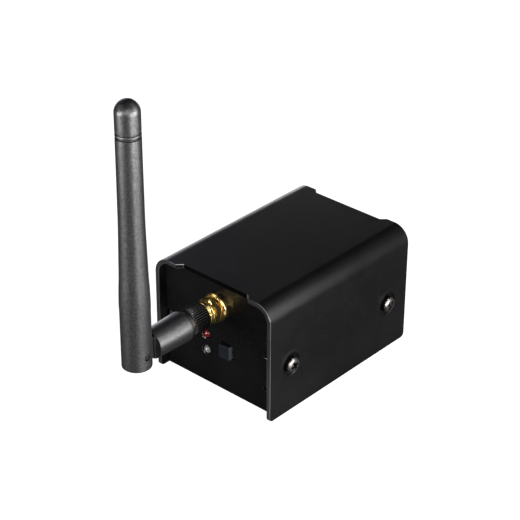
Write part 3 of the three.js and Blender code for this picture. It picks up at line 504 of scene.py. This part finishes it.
# -------------------------------------------- coupling collar and knurled ring
def coupling():
    c = (0, SMA_Z)
    prof = fillet([(3.35, -36.62), (3.7, -36.62), (3.95, -36.9), (3.95, -37.3), (3.82, -37.45), (3.82, -37.62), (3.94, -37.75), (3.86, -38.5), (3.72, -38.6), (3.72, -38.98), (3.7, -39.0), (3.7, -45.4), (3.15, -45.4), (3.15, -41.4), (3.35, -41.2)],
                  [0.05, 0.08, 0.1, 0.03, 0.03, 0.03, 0.03, 0.04, 0.04, 0.04, 0, 0.1, 0.1, 0, 0], 3)
    settle(lathe("coupling_collar_turned", prof, "y", c, 96, True), "coupling_nut", [M["gold"]], ["antenna_coupling_collar"])
    ribs, per = 38, 10; seg = ribs * per; R = 4.5
    def rad(k):
        q = (k % per) / per
        return R - 0.42 * (1 - (0.5 + 0.5 * cos(2 * pi * q)) ** 1.5)
    st = [(3.95, -39.2, 0), (4.05, -39.2, 0), (4.22, -39.24, 0.35), (4.5, -39.5, 1), (4.5, -45.05, 1), (4.42, -45.35, 0.9), (4.24, -45.62, 0.6), (4.1, -45.76, 0.25), (4.0, -45.8, 0), (3.95, -45.8, 0)]
    bm = bmesh.new(); rings = []
    for r, a, wgt in st:
        rings.append([bm.verts.new(AX["y"](r - (R - rad(k)) * wgt, a, 2 * pi * k / seg, c)) for k in range(seg)])
    for A, B in zip(rings, rings[1:] + rings[:1]):
        for k in range(seg):
            f_ = bm.faces.new([A[k], A[(k + 1) % seg], B[(k + 1) % seg], B[k]])
            end_ = min(v.co.y for v in f_.verts) < -45.3
            # the face just before each rib's crest takes the lighter copy: a painted highlight line
            f_.material_index = 1 if (k % per) == per - 1 else 2 if end_ else 0
    settle(new_obj("coupling_ring_knurled", bm), "coupling_nut", [M["knurl"], M["knurl_edge"], M["knurl_end"]], ["antenna_coupling_ring"], 50, False)

# -------------------------------------------------------------------- knuckle
def knuckle():
    c, k0, k1 = (0, SMA_Z), -48.0, KN1
    prof = [(3.1, -45.9)] + fillet([(3.1, -45.9), (3.9, -45.9), (3.9, -47.9), (5.12, k0), (4.82, k1), (0, k1)], [0, 0.1, 0.1, 0.42, 0.12, 0], 5, False)[1:] + [(0, -58.6), (3.1, -58.6)]
    prof = [p for i, p in enumerate(prof)]
    # closed outline: up the outside, across the end, back along the bore
    o = lathe("knuckle_barrel", prof + [(3.1, -45.9)], "y", c, 96)
    tz = 3.7
    n = 24
    tongue = [(k1 + 1.5, SMA_Z + tz)] + [(WHIP_Y + tz * cos(radians(a)), PIN_Z + tz * sin(radians(a))) for a in [90 + 180 * i / n for i in range(n + 1)]] + [(k1 + 1.5, SMA_Z - tz)]
    t = extrude("c", tongue, "x", -1.9, 1.9); bevel(t, 0.2, 3, 30)
    boolean(o, t, "UNION")
    s = extrude("c", fillet([(-62.6, SMA_Z - 3.9), (k1 + 1.5, SMA_Z - 3.9), (k1 + 1.5, SMA_Z + 3.9), (-62.6, SMA_Z + 3.9)], [0.3, 0, 0, 0.3], 4), "x", -2.5, 2.5)
    boolean(o, s, "UNION")
    boolean(o, cyl("c", "x", 1.2, -6, 6, (WHIP_Y, PIN_Z), 48))
    boolean(o, cyl("c", "y", 0.95, -64.6, -57, (0, SMA_Z), 32))
    tidy(o); bevel(o, 0.08, 2, 40)
    settle(o, "knuckle", [M["knuckle"]], ["antenna_knuckle"], 40)

# ----------------------------------------------------------------------- whip
def whip():
    c, z0, seam = (0, WHIP_Y), low("antenna_hinge_housing").z, 48.37
    prof = fillet([(0, z0), (4.8, z0), (4.78, seam), (3.85, seam), (3.85, 56.0), (0, 56.0)], [0, 0.35, 0.03, 0.05, 0.2, 0], 5, False)
    o = lathe("hinge_housing_fork", prof, "z", c, 96)
    T, R = 2.15, 3.95
    py, pz, n = WHIP_Y, PIN_Z, 32
    slot = [(py + 9, 20), (py + 9, pz + R)] + [(py + R * cos(radians(a)), pz + R * sin(radians(a))) for a in [90 + 90 * i / n for i in range(n + 1)]] + [(py - R, 20)]
    boolean(o, extrude("c", slot, "x", -T, T))
    # back lower corner rounded about the pin
    q = [(py + 9, 20), (py + 9, pz)] + [(py + 5.1 * cos(radians(a)), pz + 5.1 * sin(radians(a))) for a in [-90 * i / n for i in range(n + 1)]] + [(py, 20)]
    boolean(o, extrude("c", q, "x", -7, 7))
    boolean(o, cyl("c", "x", 1.15, -7, 7, (py, pz), 48))
    boolean(o, cyl("c", "z", 1.1, pz, 60, c, 32))
    tidy(o); bevel(o, 0.10, 2, 40)
    settle(o, "whip", [M["antenna"]], ["antenna_hinge_housing"], 40)
    pe = high("antenna_hinge_pin").x
    pin = fillet([(0, -pe), (0.96, -pe), (0.96, pe), (0, pe)], [0, 0.12, 0.12, 0], 4, False)
    settle(lathe("hinge_pin_domed", pin, "x", (py, pz), 40), "whip", [M["dark"]], ["antenna_hinge_pin"])
    # sleeve: measured taper, smooth
    tap = [(48.4, 4.85), (49.8, 4.84), (52.5, 4.79), (55.5, 4.68), (58, 4.53), (61, 4.43), (64, 4.37), (66.5, 4.30), (69, 4.24), (72, 4.16), (75, 4.09), (79, 4.03), (85, 4.01), (92, 3.97), (99, 3.94), (105.2, 3.93)]
    out = [(4.1, 48.4), (4.80, 48.4), (4.84, 48.43)] + [(r, z) for z, r in tap[1:-1]] + [(3.93, 105.05), (3.86, 105.17), (3.7, 105.2), (2.9, 105.2), (2.9, 58), (4.1, 56.4)]
    settle(lathe("whip_sleeve_tapered", out, "z", c, 112, True), "whip", [M["antenna"]], ["antenna_whip_sleeve"])
    tip = [(0, 101.0), (2.5, 101.0), (2.6, 101.1), (2.6, 105.4), (3.6, 105.4), (3.6, 105.55), (3.74, 105.62), (3.87, 105.72), (3.92, 105.85), (3.92, 106.5), (3.87, 106.62), (3.74, 106.72), (3.6, 106.78), (3.6, 106.98),
           (3.74, 107.02), (3.88, 107.1), (3.92, 107.25)]
    top = high("antenna_tip_cap").z
    for k in range(0, 25):
        a = radians(90 * k / 25); tip.append((3.92 * cos(a), top - 3.92 + 3.92 * sin(a)))
    tip.append((0, top))
    settle(lathe("tip_cap_domed", tip, "z", c, 112), "whip", [M["antenna"]], ["antenna_tip_cap"])

# ------------------------------------------------------- front panel fittings
def fittings():
    for name, p in LEDS:
        r, y = 1.47, dy(low(name).y)
        prof = [(0, -27.4), (1.8, -27.4), (1.87, -27.47), (1.87, -28.33), (1.8, -28.4), (r + 0.06, -28.4), (r, -28.5), (r, y + r)]
        for k in range(1, 16):
            a = radians(90 * k / 16); prof.append((r * cos(a), y + r - r * sin(a)))
        prof.append((0, y))
        settle(lathe(name + "_domed", prof, "y", (p.x, p.z), 64), "case", [M[name]], [name])
        # reflector cup inside the epoxy
        cup = [(0, -29.2), (0.55, -29.2), (0.62, -29.7), (0.5, -29.72), (0.3, -29.35), (0, -29.33)]
        settle(lathe(name + "_cup", cup, "y", (p.x, p.z), 32), "case", [M["shield"]])
    w, h = 4.4, 4.8
    bm = bmesh.new(); rings = []
    for inset, y, r in ((0.0, -29.0, 0.22), (0.0, BTN_F + 0.10, 0.22), (0.03, BTN_F + 0.03, 0.21), (0.10, BTN_F, 0.18), (0.30, BTN_F + 0.004, 0.15), (0.7, BTN_F + 0.035, 0.12), (1.2, BTN_F + 0.06, 0.1), (1.8, BTN_F + 0.07, 0.05)):
        rings.append([bm.verts.new((x, y, z)) for x, z in rrect(w - 2 * inset, h - 2 * inset, r, BTN_X, BTN_Z, 5)])
    for A, B in zip(rings, rings[1:]):
        for k in range(len(A)): bm.faces.new([A[k], A[(k + 1) % len(A)], B[(k + 1) % len(A)], B[k]])
    bm.faces.new(rings[-1]); bm.faces.new(list(reversed(rings[0])))
    o = new_obj("button_cap_moulded", bm)
    boolean(o, cuboid("c", BTN_X - 1.2, BTN_X + 1.2, -30.4, -28, BTN_Z - 1.2, BTN_Z + 1.2))
    tidy(o, 0.0005)
    # the right-hand side faces take the lighter copy: painted highlight
    for p in o.data.polygons:
        if p.normal.x > 0.5: p.material_index = 1
    settle(o, "push_button", [M["button"], M["button_side"]], ["push_button_cap"], 50)

# -------------------------------------------------------- rear panel fittings
def rear():
    for side, sx in (("right", 1), ("left", -1)):
        x = sx * JACK_X; c = (x, JACK_Z); end = dy(high("output_jack_" + side).y)
        o = cuboid("jack_body_" + side, x - 6.5, x + 6.5, 4.0, 30.1, 11.3, 25.2)
        bevel(o, 0.4, 3, 30)
        prof = [(0, 29.0), (4.7, 29.0), (4.7, PR - 0.6)]
        a = PR - 0.5
        while a < end - 0.75:
            prof += [(4.5, a), (4.7, a + 0.28), (4.7, a + 0.38), (4.5, a + 0.66)]; a += 0.75
        prof += [(4.5, a), (4.62, end - 0.35), (4.3, end - 0.02), (4.25, end), (0, end)]
        boolean(o, lathe("c", prof, "y", c, 72), "UNION")
        bore = [(0, 5.5), (3.3, 5.5), (3.3, end - 0.55), (3.42, end - 0.35), (3.85, end), (3.95, end + 0.2), (0, end + 0.2)]
        boolean(o, lathe("c", bore, "y", c, 64))
        tidy(o, 0.001)
        settle(o, "case", [M["black"]], ["output_jack_" + side], 30)
        wp = fillet([(4.95, PR + 0.1), (6.9, PR + 0.1), (6.9, PR + 0.8), (4.95, PR + 0.8)], 0.14, 4)
        settle(lathe("jack_washer_" + side, wp, "y", c, 96, True), "case", [M["nickel"]], ["output_jack_washer_" + side])
        rc = 12.7 / sqrt(3)
        n = extrude("jack_nut_" + side, rounded_hex(rc, 90, x, JACK_Z, 0.25), "y", PR + 0.95, PR + 3.1)
        cone = [(0, PR + 0.95), (6.5, PR + 0.95), (7.4, PR + 1.35), (7.4, PR + 2.7), (6.25, PR + 3.1), (0, PR + 3.1)]
        boolean(n, lathe("c", cone, "y", c, 96), "INTERSECT")
        boolean(n, lathe("c", [(0, PR), (5.3, PR), (5.3, PR + 0.95), (4.95, PR + 1.3), (4.95, PR + 2.75), (5.3, PR + 3.1), (5.3, PR + 4), (0, PR + 4)], "y", c, 72))
        tidy(n); bevel(n, 0.09, 2, 25)
        settle(n, "case", [M["nickel"]], ["output_jack_nut_" + side], 30)
    # power socket: drawn shell, tongue with contacts
    y1 = dy(high("power_socket_shell").y)
    o = extrude("power_socket_drawn_shell", rrect(8.94, 3.2, 1.55, 0, USB_Z, 12), "y", 24.6, y1)
    boolean(o, extrude("c", rrect(8.34, 2.56, 1.25, 0, USB_Z, 12), "y", 25.6, y1 + 2))
    tidy(o, 0.001); bevel(o, 0.06, 2, 50)
    settle(o, "case", [M["shield"]], ["power_socket_shell"], 40)
    t = cuboid("power_socket_tongue_moulded", -3.3, 3.3, 25.9, 31.3, USB_Z - 0.35, USB_Z + 0.35)
    bevel(t, 0.12, 3, 40)
    settle(t, "case", [M["black"]], ["power_socket_tongue"])
    for sgn, s in ((1, "up"), (-1, "down")):
        for k in range(6):
            x = -2.5 + k
            z = USB_Z + sgn * 0.37
            o = cuboid(f"power_contact_{s}_{k + 1}", x - 0.14, x + 0.14, 27.5, 30.7, min(z, z - sgn * 0.05), max(z, z - sgn * 0.05))
            bevel(o, 0.02, 2, 40)
            settle(o, "case", [M["gold"]])

cover(); chassis(); screws(); socket(); coupling(); knuckle(); whip(); fittings(); rear()

# ------------------------------------------------- CAD nodes that stay as made
KEEP = {"clinch_nut": "zinc", "pcb_standoff": "zinc", "pcb_screw": "zinc", "main_pcb": "pcb", "bluetooth_module_board": "module",
        "bluetooth_shield_can": "shield", "crystal_can": "shield", "rf_plug": "gold", "rf_pigtail": "jacket", "antenna_coax": "jacket",
        "antenna_radiator": "brass", "antenna_plug": "gold", "sma_center": "gold", "sma_dielectric": "ptfe", "led_holder": "black",
        "push_switch_body": "black", "switch_snap_dome": "zinc", "switch_plunger": "button", "converter_chip": "black",
        "voltage_regulator": "black", "filter_capacitor": "sleeve"}
for n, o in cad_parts.items():
    for k, v in KEEP.items():
        if n.startswith(k):
            if not o.material_slots: o.data.materials.append(M[v])
            for s in o.material_slots: s.material = M[v]

# ------------------------------------------------------ floor, light, camera
def quad(name, pts, mat):
    me = bpy.data.meshes.new(name); me.from_pydata(pts, [], [(0, 1, 2, 3)]); me.update()
    o = bpy.data.objects.new(name, me); bpy.context.scene.collection.objects.link(o); me.materials.append(mat)
    return o
fm, ft, fb = nodes_of("floor_paper")
fb.inputs["Base Color"].default_value = (0.30, 0.30, 0.30, 1); fb.inputs["Roughness"].default_value = 0.9
fb.inputs["Specular IOR Level"].default_value = 0.1
fb.inputs["Emission Color"].default_value = (1, 1, 1, 1); fb.inputs["Emission Strength"].default_value = 1.0
floor = quad("floor", [(-3, -3, -0.0002), (3, -3, -0.0002), (3, 3, -0.0002), (-3, 3, -0.0002)], fm)
floor.visible_glossy = False      # a black card stands in for it in the gloss, as in a dark studio
def gloss_card(name, x0, x1, y0, y1, strength, pts=None):
    """A lit sheet lying on the paper that only shows in glossy surfaces."""
    m, t, b = nodes_of(name)
    b.inputs["Base Color"].default_value = (0, 0, 0, 1); b.inputs["Specular IOR Level"].default_value = 0
    b.inputs["Emission Color"].default_value = (1, 1, 1, 1); b.inputs["Emission Strength"].default_value = strength
    o = quad(name, pts or [(x0, y0, -0.0001), (x1, y0, -0.0001), (x1, y1, -0.0001), (x0, y1, -0.0001)], m)
    o.visible_camera = o.visible_diffuse = o.visible_shadow = o.visible_transmission = False
gloss_card("floor_card_left_rear", -0.9, -0.10, 0.05, 0.9, 1.6)
gloss_card("floor_card_right_rear", 0.026, 0.9, -0.02, 0.9, 0.06)
gloss_card("floor_card_front_left", -0.9, 0.0, -0.9, -0.02, 0.04)
gloss_card("floor_card_front_right", 0.026, 0.5, -0.076, -0.036, 0.9)
# an upright card in front and to the right, for the turned gold edges
gloss_card("upright_card_front_right", 0, 0, 0, 0, 3.2, [(0.42, -0.10, 0.10), (0.16, -0.44, 0.10), (0.16, -0.44, 0.34), (0.42, -0.10, 0.34)])

def area(name, pos, aim, w, h, power, colour=(1, 1, 1)):
    l = bpy.data.lights.new(name, "AREA"); l.shape = "RECTANGLE"; l.size = w; l.size_y = h; l.energy = power; l.color = colour
    o = bpy.data.objects.new(name, l); bpy.context.scene.collection.objects.link(o)
    p = Vector(pos); o.location = p
    o.rotation_euler = (Vector(aim) - p).to_track_quat("-Z", "Y").to_euler()
    o.visible_camera = False
    return o
AIM = (0, -0.01, 0.035)
STRIP_AT = Vector((0, (WHIP_Y + Y0) / 1000, 0))
for n_, p_, at_, w_, h_, e_ in (
    ("right_strip_1", (0.2674, -0.0873, 0.0520), 'WH', 0.05, 0.1, 0.598),
    ("right_strip_2", (0.4456, -0.1123, 0.0820), 'WH', 0.09, 0.16, 0.377),
    ("right_strip_3", (0.2595, 0.0247, 0.0520), 'WH', 0.05, 0.1, 0.130),
    ("right_strip_4", (0.4326, 0.0743, 0.0820), 'WH', 0.09, 0.16, 1.496),
    ("right_strip_5", (0.2384, 0.0771, 0.0520), 'WH', 0.05, 0.1, 0.268),
    ("left_front_strip_1", (-0.1268, -0.2881, 0.0520), 'WH', 0.05, 0.1, 0.331),
    ("left_front_strip_2", (-0.1391, -0.4777, 0.0820), 'WH', 0.09, 0.16, 0.761),
    ("left_front_strip_3", (-0.0626, -0.4953, 0.0820), 'WH', 0.09, 0.16, 1.167),
    ("right_rear_card_1", (0.2146, 0.0962, 0.1317), 'AIM', 0.07, 0.07, 0.118),
    ("right_rear_card_2", (0.1800, 0.0836, 0.1907), 'AIM', 0.07, 0.07, 0.134),
    ("left_rear_card_1", (-0.1967, 0.2699, 0.0467), 'AIM', 0.1, 0.08, 0.099),
    ("left_rear_card_2", (-0.3072, 0.1062, 0.0467), 'AIM', 0.1, 0.08, 0.090),
    ("high_softbox_1", (0.1798, 0.1690, 0.4715), 'AIM', 0.2, 0.2, 0.143),
    ("front_softbox_1", (0.187, -0.384, 0.250), 'AIM', 0.2, 0.2, 0.200),
    ("front_softbox_2", (-0.260, -0.270, 0.310), 'AIM', 0.2, 0.2, 0.160),
    ("left_rear_horizon", (-0.460, 0.400, 0.051), 'AIM', 0.36, 0.10, 0.260),
):
    area(n_, p_, (STRIP_AT.x, STRIP_AT.y, p_[2]) if at_ == "WH" else AIM, w_, h_, e_)

area("left_rear_softbox", (-0.426, 0.189, 0.206), AIM, 0.25, 0.25, 0.17, (0.92, 0.90, 1.15))

w = bpy.data.worlds.new("studio"); bpy.context.scene.world = w; w.use_nodes = True
w.node_tree.nodes["Background"].inputs[0].default_value = (1, 1, 1, 1)
w.node_tree.nodes["Background"].inputs[1].default_value = 0.012

az, el, roll, f = radians(41.838), radians(30.418), radians(0.237), 1722.0
C = Vector((320.330, -369.437 + Y0, 322.140)) / 1000
back = Vector((sin(az) * cos(el), -cos(az) * cos(el), sin(el)))
right = Vector((cos(az), sin(az), 0)); up = back.cross(right)
r2 = cos(roll) * right + sin(roll) * up; u2 = -sin(roll) * right + cos(roll) * up
cam = bpy.data.cameras.new("camera"); co = bpy.data.objects.new("camera", cam); bpy.context.scene.collection.objects.link(co)
mw = Matrix.Identity(4)
for i, v in enumerate((r2, u2, back)):
    for j in range(3): mw[j][i] = v[j]
mw.translation = C
co.matrix_world = mw
cam.sensor_width = 36.0; cam.sensor_fit = "HORIZONTAL"; cam.lens = f / 520 * 36.0
cam.shift_y = 0.5 / 520
cam.clip_start = 0.01; cam.clip_end = 20
bpy.context.scene.camera = co
bpy.context.scene.view_settings.view_transform = "Standard"
bpy.context.scene.view_settings.look = "None"
